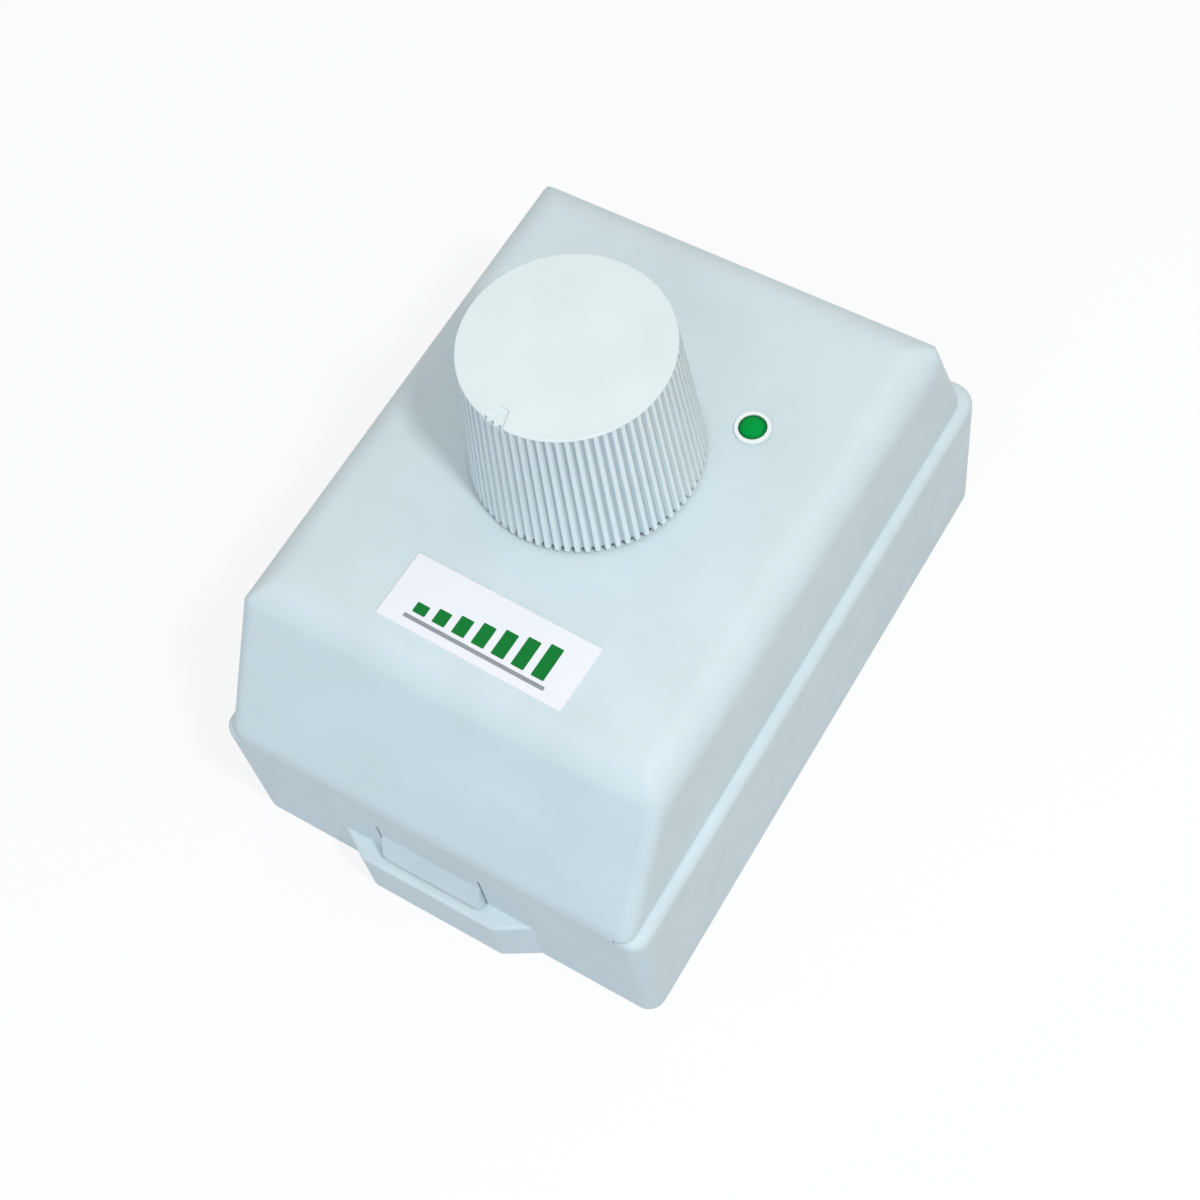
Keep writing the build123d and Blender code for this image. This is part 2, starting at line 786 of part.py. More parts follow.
with BuildPart() as switch_legs:
    with BuildSketch(knob_plane(board_top)):
        with Locations(*[(place, switch_radius - leg_thickness) for place in switch_leg_places]):
            Rectangle(leg_width, 2 * leg_thickness, align=(Align.CENTER, Align.MIN))
    extrude(amount=board_gap + switch_leg_rise)
keep(switch_legs.part, "switch_legs")

with BuildPart() as switch_case:
    with BuildSketch(knob_plane(switch_foot)):
        Circle(switch_radius)
    extrude(amount=switch_depth)
    with BuildSketch(knob_plane(switch_foot + switch_wall)):
        Circle(switch_radius - switch_wall)
    extrude(amount=switch_depth - 2 * switch_wall, mode=Mode.SUBTRACT)
    with BuildSketch(knob_plane(switch_foot + switch_wall)):
        Circle(shaft_radius + wiper_gap)
    extrude(amount=switch_depth, mode=Mode.SUBTRACT)
    with BuildSketch(knob_plane(switch_foot)):
        with Locations(*[(place, switch_radius - leg_thickness) for place in switch_leg_places]):
            Rectangle(leg_width, 2 * leg_thickness, align=(Align.CENTER, Align.MIN))
    extrude(amount=board_gap + switch_leg_rise, mode=Mode.SUBTRACT)
keep(switch_case.part, "switch_case")

with BuildPart() as switch_cam:
    with BuildSketch(knob_plane(cam_foot)):
        Circle(cam_radius)
        Rectangle(cam_radius + cam_lobe_reach, cam_lobe_width, align=(Align.MIN, Align.CENTER))
        Circle(shaft_radius + fit_gap, mode=Mode.SUBTRACT)
    extrude(amount=cam_height)
keep(switch_cam.part, "switch_cam")

# Sprung contact, drawn in the short stretch that the cam's lobe never sweeps
with BuildPart() as switch_contact:
    with BuildSketch(knob_plane(cam_foot)):
        with PolarLocations(switch_radius - switch_wall - contact_length, 1, start_angle=cam_turn_gap):
            Rectangle(contact_length, contact_thickness, align=(Align.MIN, Align.CENTER))
    extrude(amount=cam_height)
keep(switch_contact.part, "switch_contact")

# Circuit board hung from the cover's posts by four screws
with BuildPart() as circuit_board:
    with BuildSketch(Plane.XY.offset(board_foot)):
        with Locations((0, board_y)):
            RectangleRounded(board_width, board_length, board_corner)
            with GridLocations(post_spacing_x, post_spacing_y, 2, 2):
                Circle(board_hole_radius, mode=Mode.SUBTRACT)
    extrude(amount=board_thickness)
keep(circuit_board.part, "circuit_board")

with BuildPart() as board_screws:
    with BuildSketch(Plane.XY.offset(board_foot)):
        with Locations((0, board_y)):
            with GridLocations(post_spacing_x, post_spacing_y, 2, 2):
                Circle(board_screw_radius)
    extrude(amount=board_screw_length)
    with BuildSketch(Plane.XY.offset(board_foot - board_screw_head_height)):
        with Locations((0, board_y)):
            with GridLocations(post_spacing_x, post_spacing_y, 2, 2):
                Circle(board_screw_head_radius)
    extrude(amount=board_screw_head_height)
    with BuildSketch(Plane.XY.offset(board_foot - board_screw_head_height)):
        with Locations((0, board_y)):
            with GridLocations(post_spacing_x, post_spacing_y, 2, 2):
                Rectangle(2 * board_screw_head_radius, board_screw_slot)
                Rectangle(board_screw_slot, 2 * board_screw_head_radius)
    extrude(amount=board_screw_head_height / 2, mode=Mode.SUBTRACT)
keep(board_screws.part, "board_screws")

# Power switch on its heat sink
triac_foot = board_top + triac_lift
triac_hole_level = triac_foot + triac_tab_height - triac_hole_drop
triac_tab_front = triac_y - triac_tab_thickness
sink_back = triac_y + sink_sheet
# Faces +Y, so its drawing's x runs towards -X and its y runs up
hole_plane = Plane((triac_x, triac_y, triac_hole_level), x_dir=(-1, 0, 0), z_dir=(0, 1, 0))

with BuildPart() as triac_body:
    with BuildSketch(Plane.XY.offset(triac_foot)):
        with Locations((triac_x, triac_tab_front)):
            Rectangle(triac_width, triac_body_depth, align=(Align.CENTER, Align.MAX))
    extrude(amount=triac_body_height)
    chamfer(triac_body.faces().sort_by(Axis.Y)[0].edges(), can_sheet)
keep(triac_body.part, "triac_body")

with BuildPart() as triac_tab:
    with BuildSketch(Plane.XY.offset(triac_foot)):
        with Locations((triac_x, triac_y)):
            Rectangle(triac_width, triac_tab_thickness, align=(Align.CENTER, Align.MAX))
    extrude(amount=triac_tab_height)
    with BuildSketch(hole_plane):
        Circle(triac_hole_radius)
    extrude(amount=-2 * triac_tab_thickness, mode=Mode.SUBTRACT)
keep(triac_tab.part, "triac_tab")

with BuildPart() as triac_legs:
    with BuildSketch(Plane.XY.offset(board_top)):
        with Locations((triac_x, triac_tab_front - triac_body_depth / 2)):
            with Locations((-triac_leg_pitch, 0), (0, 0), (triac_leg_pitch, 0)):
                Rectangle(triac_leg_width, triac_leg_thickness)
    extrude(amount=triac_lift)
keep(triac_legs.part, "triac_legs")

with BuildPart() as heat_sink:
    with BuildSketch(Plane.XY.offset(board_top)) as sink_plan:
        with Locations((triac_x, triac_y)):
            Rectangle(sink_width, sink_sheet + sink_fold, align=(Align.CENTER, Align.MIN))
        fillet(sink_plan.vertices().group_by(Axis.Y)[0], sink_fold_round)
    extrude(amount=sink_height)
    with BuildSketch(Plane.XY.offset(board_top)) as sink_gap:
        with Locations((triac_x, sink_back)):
            Rectangle(sink_width - 2 * sink_sheet, 2 * sink_fold, align=(Align.CENTER, Align.MIN))
        fillet(sink_gap.vertices().group_by(Axis.Y)[0], sink_fold_round - sink_sheet)
    extrude(amount=sink_height, mode=Mode.SUBTRACT)
    with BuildSketch(hole_plane):
        Circle(triac_hole_radius)
    extrude(amount=2 * sink_sheet, mode=Mode.SUBTRACT)
keep(heat_sink.part, "heat_sink")

with BuildPart() as triac_screw:
    with BuildSketch(hole_plane.offset(-triac_tab_thickness - triac_screw_head_height)):
        Circle(triac_screw_head_radius)
    extrude(amount=triac_screw_head_height)
    with BuildSketch(hole_plane.offset(-triac_tab_thickness)):
        Circle(triac_screw_radius)
    extrude(amount=triac_tab_thickness + sink_sheet + triac_nut_thickness)
    with BuildSketch(hole_plane.offset(-triac_tab_thickness - triac_screw_head_height)):
        Rectangle(2 * triac_screw_head_radius, board_screw_slot)
    extrude(amount=triac_screw_head_height / 2, mode=Mode.SUBTRACT)
keep(triac_screw.part, "triac_screw")

with BuildPart() as triac_nut:
    with BuildSketch(hole_plane.offset(sink_sheet)):
        RegularPolygon(triac_nut_flats / 2, 6, major_radius=False)
        Circle(triac_screw_radius + fit_gap, mode=Mode.SUBTRACT)
    extrude(amount=triac_nut_thickness)
keep(triac_nut.part, "triac_nut")

# Suppression choke: a ferrite rod inside one unbroken coil
coil_radius = core_radius + choke_gap + choke_wire / 2
choke_level = board_top + choke_lift + coil_radius + choke_wire / 2
coil_turns = choke_turns + 1 / 2
coil_start = choke_y - coil_turns * choke_pitch / 2
steps_per_turn = 4
gap_samples = 24


def coil_point(turn):
    """The coil's centre line after a number of turns."""
    angle = 2 * pi * turn
    across = coil_radius * cos(angle)
    up = coil_radius * sin(angle)
    return Vector(choke_x + across, coil_start + choke_pitch * turn, choke_level + up)


def coil_heading(turn):
    """The direction of the coil's centre line, square to the board at both ends."""
    angle = 2 * pi * turn
    lead = 0 if turn in (0, coil_turns) else choke_pitch / (2 * pi * coil_radius)
    return Vector(-sin(angle), lead, cos(angle)).normalized()


def biarc(start, start_heading, end, end_heading):
    """Draws two arcs that join two points and keep both headings."""
    span = end - start
    along = span.dot(start_heading + end_heading)
    square = 2 * (1 - start_heading.dot(end_heading))
    reach = ((along**2 + square * span.dot(span)) ** 0.5 - along) / square
    middle = (start + end + (start_heading - end_heading) * reach) / 2
    TangentArc(start, middle, tangent=start_heading)
    TangentArc(end, middle, tangent=end_heading * -1)


with BuildPart() as choke_winding:
    with BuildLine() as coil_path:
        first = coil_point(0)
        last = coil_point(coil_turns)
        Line((first.X, first.Y, board_top), first)
        for step in range(round(coil_turns * steps_per_turn)):
            near = step / steps_per_turn
            far = (step + 1) / steps_per_turn
            biarc(coil_point(near), coil_heading(near), coil_point(far), coil_heading(far))
        Line(last, (last.X, last.Y, board_top))
    with BuildSketch(Plane((first.X, first.Y, board_top))):
        Circle(choke_wire / 2)
    sweep(path=coil_path.wires()[0])
keep(choke_winding.part, "choke_winding")
least_gap = min(
    (coil_point(near / gap_samples) - coil_point(far / gap_samples)).length - choke_wire
    for near in range(gap_samples * (choke_turns - 1))
    for far in range(near + gap_samples // 2, near + gap_samples * 3 // 2)
)
print("choke coil, least gap to itself", round(least_gap, 3), "mm")

with BuildPart() as choke_core:
    core_end = (choke_x, choke_y - core_length / 2, choke_level)
    with BuildSketch(Plane(core_end, x_dir=(-1, 0, 0), z_dir=(0, 1, 0))):
        Circle(core_radius)
    extrude(amount=core_length)
    chamfer(choke_core.edges(), core_chamfer)
keep(choke_core.part, "choke_core")

# Suppression and timing capacitors with their wire legs
with BuildPart() as film_capacitor:
    with BuildSketch(Plane.XY.offset(board_top + film_lift)):
        with Locations((film_x, film_y)):
            Rectangle(film_width, film_length)
    extrude(amount=film_height)
    fillet(film_capacitor.edges(), can_sheet)
keep(film_capacitor.part, "film_capacitor")

with BuildPart() as film_legs:
    with BuildSketch(Plane.XY.offset(board_top)):
        with Locations((film_x, film_y - film_leg_pitch / 2), (film_x, film_y + film_leg_pitch / 2)):
            Circle(wire_width / 2)
    extrude(amount=film_lift)
keep(film_legs.part, "film_legs")

with BuildPart() as timing_capacitor:
    with BuildSketch(Plane.XY.offset(board_top + film_lift)):
        with Locations((timing_x, timing_y)):
            Rectangle(timing_width, timing_depth)
    extrude(amount=timing_height)
    fillet(timing_capacitor.edges(), can_sheet)
keep(timing_capacitor.part, "timing_capacitor")

with BuildPart() as timing_legs:
    with BuildSketch(Plane.XY.offset(board_top)):
        with Locations(
            (timing_x - timing_leg_pitch / 2, timing_y), (timing_x + timing_leg_pitch / 2, timing_y)
        ):
            Circle(wire_width / 2)
    extrude(amount=film_lift)
keep(timing_legs.part, "timing_legs")


def leg_pair(x, y, level, half_length):
    """Two wire legs that leave the ends of a part lying along X and bend down to the board."""
    with BuildPart() as legs:
        for side in (-1, 1):
            near = x + side * half_length
            far = near + side * axial_leg_reach
            with BuildLine() as route:
                FilletPolyline((near, y, level), (far, y, level), (far, y, board_top), radius=wire_width)
            with BuildSketch(Plane((near, y, level), x_dir=(0, 1, 0), z_dir=(side, 0, 0))):
                Circle(wire_width / 2)
            sweep(path=route.wires()[0])
    return legs.part


def lying_rod(x, y, level, radius, length):
    """A round rod lying along X, kept outside any builder."""
    return Pos(x, y, level) * Rot(0, 90, 0) * Cylinder(radius, length, mode=Mode.PRIVATE)


# Fuse: glass tube in two metal caps
fuse_level = board_top + axial_lift + fuse_radius
fuse_glass_radius = fuse_radius - fuse_cap_sheet
fuse_glass = lying_rod(fuse_x, fuse_y, fuse_level, fuse_glass_radius, fuse_length - 2 * fuse_cap_sheet)

with BuildPart() as fuse_tube:
    add(fuse_glass)
keep(fuse_tube.part, "fuse_tube")

with BuildPart() as fuse_caps:
    for side in (-1, 1):
        cap_x = fuse_x + side * (fuse_length - fuse_cap_length) / 2
        add(lying_rod(cap_x, fuse_y, fuse_level, fuse_radius, fuse_cap_length))
    add(fuse_glass, mode=Mode.SUBTRACT)
keep(fuse_caps.part, "fuse_caps")
keep(leg_pair(fuse_x, fuse_y, fuse_level, fuse_length / 2), "fuse_legs")

# Resistors with swollen ends, side by side
resistor_level = board_top + axial_lift + resistor_radius
resistor_rows = [resistor_y + index * resistor_step for index in range(resistor_count)]

with BuildPart() as resistors:
    for row in resistor_rows:
        add(lying_rod(resistor_x, row, resistor_level, resistor_waist, resistor_length))
        for side in (-1, 1):
            end_x = resistor_x + side * (resistor_length - resistor_end_length) / 2
            add(lying_rod(end_x, row, resistor_level, resistor_radius, resistor_end_length))
keep(resistors.part, "resistors")
resistor_leg_pairs = [leg_pair(resistor_x, row, resistor_level, resistor_length / 2) for row in resistor_rows]
with BuildPart() as resistor_legs:
    add(resistor_leg_pairs)
keep(resistor_legs.part, "resistor_legs")

# Trigger diode
diode_level = board_top + axial_lift + diode_radius
with BuildPart() as trigger_diode:
    add(lying_rod(diode_x, diode_y, diode_level, diode_radius, diode_length))
    fillet(trigger_diode.edges().filter_by(GeomType.CIRCLE), diode_radius / 2)
keep(trigger_diode.part, "trigger_diode")
keep(leg_pair(diode_x, diode_y, diode_level, diode_length / 2), "diode_legs")

# Two-way terminal block under the board, its wire entries facing the cable entry
way_places = (block_x - way_pitch / 2, block_x + way_pitch / 2)
block_front = block_y - block_length / 2
clamp_screw_foot = block_foot + clamp_screw_sink
clamp_screw_head = clamp_foot - clamp_screw_foot - clamp_clearance

with BuildPart() as terminal_block:
    with BuildSketch(Plane.XY.offset(block_foot)):
        with Locations((block_x, block_y)):
            Rectangle(block_width, block_length)
    extrude(amount=block_height)
    fillet(terminal_block.edges().filter_by(Axis.Z), block_round)
    with BuildSketch(Plane.XY.offset(clamp_foot - clamp_clearance)):
        with Locations(*[(place, block_y) for place in way_places]):
            Rectangle(clamp_width + 2 * clamp_clearance, clamp_length + 2 * clamp_clearance)
    extrude(amount=clamp_height + 2 * clamp_clearance, mode=Mode.SUBTRACT)
    with BuildSketch(Plane.XY.offset(block_foot)):
        with Locations(*[(place, block_y) for place in way_places]):
            Circle(clamp_screw_head_radius + clamp_clearance)
    extrude(amount=clamp_drop, mode=Mode.SUBTRACT)
    with BuildSketch(Plane((0, block_front, way_level), x_dir=(-1, 0, 0), z_dir=(0, 1, 0))):
        with Locations(*[(-place, 0) for place in way_places]):
            Circle(way_radius)
    extrude(amount=way_depth, mode=Mode.SUBTRACT)
keep(terminal_block.part, "terminal_block")

with BuildPart() as terminal_clamps:
    with BuildSketch(Plane.XY.offset(clamp_foot)):
        with Locations(*[(place, block_y) for place in way_places]):
            Rectangle(clamp_width, clamp_length)
    extrude(amount=clamp_height)
    with BuildSketch(Plane((0, block_front, way_level), x_dir=(-1, 0, 0), z_dir=(0, 1, 0))):
        with Locations(*[(-place, 0) for place in way_places]):
            Circle(way_radius)
    extrude(amount=block_length, mode=Mode.SUBTRACT)
    with BuildSketch(Plane.XY.offset(block_foot)):
        with Locations(*[(place, block_y) for place in way_places]):
            Circle(clamp_screw_radius + clamp_clearance)
    extrude(amount=way_level - block_foot, mode=Mode.SUBTRACT)
keep(terminal_clamps.part, "terminal_clamps")

with BuildPart() as terminal_screws:
    with BuildSketch(Plane.XY.offset(clamp_screw_foot)):
        with Locations(*[(place, block_y) for place in way_places]):
            Circle(clamp_screw_head_radius)
    extrude(amount=clamp_screw_head)
    with BuildSketch(Plane.XY.offset(clamp_screw_foot)):
        with Locations(*[(place, block_y) for place in way_places]):
            Circle(clamp_screw_radius)
    extrude(amount=clamp_screw_head + clamp_screw_length)
    with BuildSketch(Plane.XY.offset(clamp_screw_foot)):
        with Locations(*[(place, block_y) for place in way_places]):
            Rectangle(2 * clamp_screw_head_radius, clamp_screw_slot)
    extrude(amount=clamp_screw_head / 2, mode=Mode.SUBTRACT)
keep(terminal_screws.part, "terminal_screws")
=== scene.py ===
from math import atan2, cos, pi, radians, sin

import bmesh
import bpy
from mathutils import Matrix, Vector


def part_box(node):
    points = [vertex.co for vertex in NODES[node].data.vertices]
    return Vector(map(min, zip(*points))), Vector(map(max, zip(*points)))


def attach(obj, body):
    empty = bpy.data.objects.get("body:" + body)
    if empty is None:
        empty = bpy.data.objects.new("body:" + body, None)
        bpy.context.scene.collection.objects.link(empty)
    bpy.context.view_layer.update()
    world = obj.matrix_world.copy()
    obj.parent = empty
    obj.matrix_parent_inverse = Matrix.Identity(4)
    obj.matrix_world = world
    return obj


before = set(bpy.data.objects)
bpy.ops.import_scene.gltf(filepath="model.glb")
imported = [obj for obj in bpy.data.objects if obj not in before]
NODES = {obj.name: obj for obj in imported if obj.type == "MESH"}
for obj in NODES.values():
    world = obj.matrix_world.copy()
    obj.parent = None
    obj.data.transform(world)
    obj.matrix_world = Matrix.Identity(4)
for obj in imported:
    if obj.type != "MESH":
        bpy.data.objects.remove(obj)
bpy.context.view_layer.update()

MM = 0.001

# Camera, as solved from the outline in the photograph
CAMERA_PLACE = (0.07862, -0.08902, 0.22726)
CAMERA_TURN = (28.092, 6.110, 31.134)
CAMERA_LENS = 64.90
SENSOR = 36.0
NEAREST_SEEN = 0.01
FARTHEST_SEEN = 20

# Studio: the world, the floor and two lamps
WHITE = (1, 1, 1, 1)
WORLD_LEVEL = 0.62
FLOOR_SIZE = 3.0
FLOOR_ROUGHNESS = 0.9
FLOOR_SHADOW = 0.2
FLOOR_BOUNCE = (0.45, 0.46, 0.47, 1)
KEY_PLACE = (0.168, -0.054, 0.317)
KEY_TARGET = (0, 0, 0.038)
KEY_SIZE = 0.035
KEY_POWER = 0.41
KEY_TINT = (1, 1, 1)
FILL_PLACE = (0.10, -0.42, 0.18)
FILL_TARGET = (0, 0, 0.03)
FILL_SIZE = 0.25
FILL_POWER = 0.25
FILL_TINT = (0.64, 0.93, 1.3)

# The standard curve between a screen's steps and linear light
SCREEN_STEPS = 255
CURVE_BEND = 0.04045
CURVE_SLOPE = 12.92
CURVE_OFFSET = 0.055
CURVE_POWER = 2.4


def rgb(red, green, blue):
    """A screen colour, 0 to 255, as the linear colour that a shader takes."""
    linear = []
    for channel in (red, green, blue):
        share = channel / SCREEN_STEPS
        if share <= CURVE_BEND:
            linear.append(share / CURVE_SLOPE)
        else:
            linear.append(((share + CURVE_OFFSET) / (1 + CURVE_OFFSET)) ** CURVE_POWER)
    return (*linear, 1.0)


# Colours of the outer parts
SHELL_WHITE = rgb(213, 228, 232)
KNOB_WHITE = rgb(226, 237, 238)
# Painted shade for the knob: in its flutes, and nearly black where they end at its foot
FLUTE_PAINTED_SHADE = rgb(182, 196, 202)
FLUTE_FOOT_PAINTED_SHADE = rgb(48, 56, 60)
RING_WHITE = rgb(244, 248, 247)
LAMP_GREEN = rgb(0, 156, 66)
# Painted shade at the lamp's rim, where the ring shades the lens
LAMP_RIM_PAINTED_SHADE = rgb(0, 104, 44)
LABEL_WHITE = rgb(244, 246, 252)
PRINT_GREEN = rgb(4, 122, 48)
PRINT_GREY = rgb(150, 156, 160)

# Colours of the inner parts
ZINC = rgb(196, 198, 200)
TIN = rgb(205, 205, 200)
BRASS = rgb(214, 190, 128)
BRONZE = rgb(206, 160, 110)
CAP_NICKEL = rgb(220, 220, 218)
ALUMINIUM = rgb(206, 208, 210)
WIRE_COPPER = rgb(190, 104, 56)
TRACK_COPPER = rgb(186, 116, 74)
SOLDER_GREY = rgb(198, 200, 202)
FERRITE = rgb(52, 52, 56)
SWITCH_BLACK = rgb(34, 34, 36)
PACKAGE_BLACK = rgb(28, 28, 30)
CAM_IVORY = rgb(226, 222, 206)
CARBON_BROWN = rgb(112, 66, 34)
LAMINATE = rgb(150, 122, 70)
BLOCK_GREY = rgb(214, 216, 214)
FILM_YELLOW = rgb(224, 180, 60)
TIMING_BROWN = rgb(150, 62, 40)
RESISTOR_BEIGE = rgb(214, 196, 154)
DIODE_BLUE = rgb(60, 96, 160)
GLASS_TINT = rgb(236, 244, 242)


def shade(colour, factor):
    """A colour made darker or lighter by one factor."""
    return (colour[0] * factor, colour[1] * factor, colour[2] * factor, 1.0)


def put_in_scene(name, data):
    """A new object on its data, linked into the scene."""
    thing = bpy.data.objects.new(name, data)
    bpy.context.scene.collection.objects.link(thing)
    return thing


BEVEL_SAMPLES = 6


class Finish:
    """A procedural material: its shader, and short ways to wire textures that stay fixed to the part."""

    def __init__(self, name):
        self.material = bpy.data.materials.new(name)
        self.material.use_nodes = True
        self.nodes = self.material.node_tree.nodes
        self.links = self.material.node_tree.links
        self.shader = self.nodes["Principled BSDF"]
        self.place = self.nodes.new("ShaderNodeTexCoord").outputs["Object"]

    def put(self, socket, value):
        """Sets a socket of the shader to a plain value."""
        self.shader.inputs[socket].default_value = value

    def wire(self, socket, value):
        """Links a texture's value to a socket of the shader."""
        self.links.new(value, self.shader.inputs[socket])

    def noise(self, size_mm, detail=2.0, stretch=(1, 1, 1)):
        """Noise with grains about size_mm across, drawn out along the axes where stretch is below 1."""
        scaled = self.nodes.new("ShaderNodeMapping")
        scaled.inputs["Scale"].default_value = stretch
        self.links.new(self.place, scaled.inputs["Vector"])
        texture = self.nodes.new("ShaderNodeTexNoise")
        texture.inputs["Scale"].default_value = 1 / (size_mm * MM)
        texture.inputs["Detail"].default_value = detail
        self.links.new(scaled.outputs["Vector"], texture.inputs["Vector"])
        return texture.outputs["Fac"]

    def remap(self, value, low, high, start=0.3, end=0.7):
        """Spreads the range of a value from start to end, a texture's middle range, over low to high."""
        spread = self.nodes.new("ShaderNodeMapRange")
        spread.inputs["From Min"].default_value = start
        spread.inputs["From Max"].default_value = end
        spread.inputs["To Min"].default_value = low
        spread.inputs["To Max"].default_value = high
        self.links.new(value, spread.inputs["Value"])
        return spread.outputs["Result"]

    def mix(self, factor, one, other):
        """A colour between two, by a texture."""
        blend = self.nodes.new("ShaderNodeMix")
        blend.data_type = "RGBA"
        self.links.new(factor, blend.inputs["Factor"])
        targets = [socket for socket in blend.inputs if socket.type == "RGBA"]
        for target, colour in zip(targets, (one, other)):
            if isinstance(colour, tuple):
                target.default_value = colour
            else:
                self.links.new(colour, target)
        return next(socket for socket in blend.outputs if socket.type == "RGBA")

    def calc(self, operation, *values):
        """A sum on textures and plain numbers."""
        sum_node = self.nodes.new("ShaderNodeMath")
        sum_node.operation = operation
        for socket, value in zip(sum_node.inputs, values):
            if isinstance(value, (int, float)):
                socket.default_value = value
            else:
                self.links.new(value, socket)
        return sum_node.outputs["Value"]

    def vector_calc(self, operation, vector, fixed=None):
        """A sum on a vector, with a fixed one where the operation takes two."""
        sum_node = self.nodes.new("ShaderNodeVectorMath")
        sum_node.operation = operation
        self.links.new(vector, sum_node.inputs[0])
        if fixed is not None:
            sum_node.inputs[1].default_value = fixed
        return sum_node.outputs

    def radius_mm(self, centre):
        """The distance in millimetres from an upright axis through a point."""
        inward = self.vector_calc("SUBTRACT", self.place, centre)["Vector"]
        level = self.vector_calc("MULTIPLY", inward, (1 / MM, 1 / MM, 0))["Vector"]
        return self.vector_calc("LENGTH", level)["Value"]

    def height_mm(self):
        """The height in millimetres above the wall."""
        parts = self.nodes.new("ShaderNodeSeparateXYZ")
        self.links.new(self.place, parts.inputs["Vector"])
        return self.calc("DIVIDE", parts.outputs["Z"], MM)

    def bump(self, height, depth_mm, below=None):
        """Adds a relief of about depth_mm to the surface normal, over one made before."""
        relief = self.nodes.new("ShaderNodeBump")
        relief.inputs["Strength"].default_value = 1.0
        relief.inputs["Distance"].default_value = depth_mm * MM
        self.links.new(height, relief.inputs["Height"])
        if below is not None:
            self.links.new(below, relief.inputs["Normal"])
        self.wire("Normal", relief.outputs["Normal"])
        return relief.outputs["Normal"]

    def soft_edges(self, radius_mm, high=None):
        """The surface normal with sharp edges rounded, and wider above a height where high is given."""
        bevel = self.nodes.new("ShaderNodeBevel")
        bevel.samples = BEVEL_SAMPLES
        bevel.inputs["Radius"].default_value = radius_mm * MM
        if high is not None:
            low_mm, high_mm, wide_mm = high
            wider = self.remap(self.height_mm(), radius_mm * MM, wide_mm * MM, low_mm, high_mm)
            self.links.new(wider, bevel.inputs["Radius"])
        return bevel.outputs["Normal"]


# Moulded plastic: its uneven tint and gloss, its slow waves and its grain
TINT_MM = 9.0
TINT_DETAIL = 3.0
GLOSS_MM = 2.5
GLOSS_DETAIL = 4.0
GLOSS_BELOW = 0.04
GLOSS_ABOVE = 0.05
WAVE_MM = 6.0
WAVE_DEPTHS = 2
GRAIN_DETAIL = 3.0
PLASTIC_IOR = 1.46


def moulded(
    name,
    colour,
    rough=0.42,
    grain_mm=0.16,
    depth_mm=0.004,
    edge_mm=0.18,
    mottle=0.03,
    sheen=0.5,
    painted_shade=None,
    high=None,
):
    """Moulded plastic: fine spark grain, a faint uneven tint, softened edges and uneven gloss."""
    finish = Finish(name)
    tint = finish.remap(finish.noise(TINT_MM, TINT_DETAIL), 0.0, 1.0)
    body = finish.mix(tint, shade(colour, 1 - mottle), shade(colour, 1 + mottle))
    # Painted shade laid over the body colour, where a painter of it is given
    if painted_shade is not None:
        body = painted_shade(finish, body)
    finish.wire("Base Color", body)
    gloss = finish.noise(GLOSS_MM, GLOSS_DETAIL)
    finish.wire("Roughness", finish.remap(gloss, rough - GLOSS_BELOW, rough + GLOSS_ABOVE))
    rounded = finish.soft_edges(edge_mm, high)
    waves = finish.bump(finish.noise(WAVE_MM), depth_mm * WAVE_DEPTHS, rounded)
    finish.bump(finish.noise(grain_mm, GRAIN_DETAIL), depth_mm, waves)
    finish.put("IOR", PLASTIC_IOR)
    finish.put("Specular IOR Level", sheen)
    return finish.material


# Metal: its faint stain, its streaks and its edges
STAIN_MM = 3.0
STAIN_DETAIL = 4.0
STAIN_DARKEST = 0.88
STAIN_LIGHTEST = 1.06
STREAK_DETAIL = 4.0
STREAK_GLOSS_BELOW = 0.08
STREAK_GLOSS_ABOVE = 0.12
METAL_EDGE_MM = 0.08


def metal(name, colour, rough=0.32, stretch=(1, 1, 1), grain_mm=0.12, depth_mm=0.003):
    """Plated or drawn metal: fine streaks along one axis, uneven gloss and a faint stain."""
    finish = Finish(name)
    stain = finish.remap(finish.noise(STAIN_MM, STAIN_DETAIL), 0.0, 1.0)
    finish.wire("Base Color", finish.mix(stain, shade(colour, STAIN_DARKEST), shade(colour, STAIN_LIGHTEST)))
    streaks = finish.noise(grain_mm, STREAK_DETAIL, stretch)
    finish.wire("Roughness", finish.remap(streaks, rough - STREAK_GLOSS_BELOW, rough + STREAK_GLOSS_ABOVE))
    finish.bump(streaks, depth_mm, finish.soft_edges(METAL_EDGE_MM))
    finish.put("Metallic", 1.0)
    return finish.material


def dress(material, *nodes):
    """Puts a material in every slot of some CAD nodes."""
    for node in nodes:
        slots = NODES[node].data.materials
        if not slots:
            slots.append(material)
        for index in range(len(slots)):
            slots[index] = material


def middle(node):
    """The centre of a node's box."""
    low, high = (Vector(corner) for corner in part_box(node))
    return (low + high) / 2


bpy.context.scene.view_settings.view_transform = "Standard"


def make_camera():
    """The camera that the photograph was taken from."""
    data = bpy.data.cameras.new("photo_camera")
    data.sensor_width = SENSOR
    data.lens = CAMERA_LENS
    data.clip_start = NEAREST_SEEN
    data.clip_end = FARTHEST_SEEN
    camera = put_in_scene("photo_camera", data)
    camera.location = CAMERA_PLACE
    camera.rotation_euler = [radians(angle) for angle in CAMERA_TURN]
    bpy.context.scene.camera = camera


def white_where_seen(nodes, links):
    """One for the rays that see the background, and zero for those that light the part."""
    path = nodes.new("ShaderNodeLightPath")
    seen = path.outputs["Is Camera Ray"]
    for kind in ("Is Glossy Ray", "Is Transmission Ray"):
        total = nodes.new("ShaderNodeMath")
        total.operation = "ADD"
        total.use_clamp = True
        links.new(seen, total.inputs[0])
        links.new(path.outputs[kind], total.inputs[1])
        seen = total.outputs["Value"]
    return seen


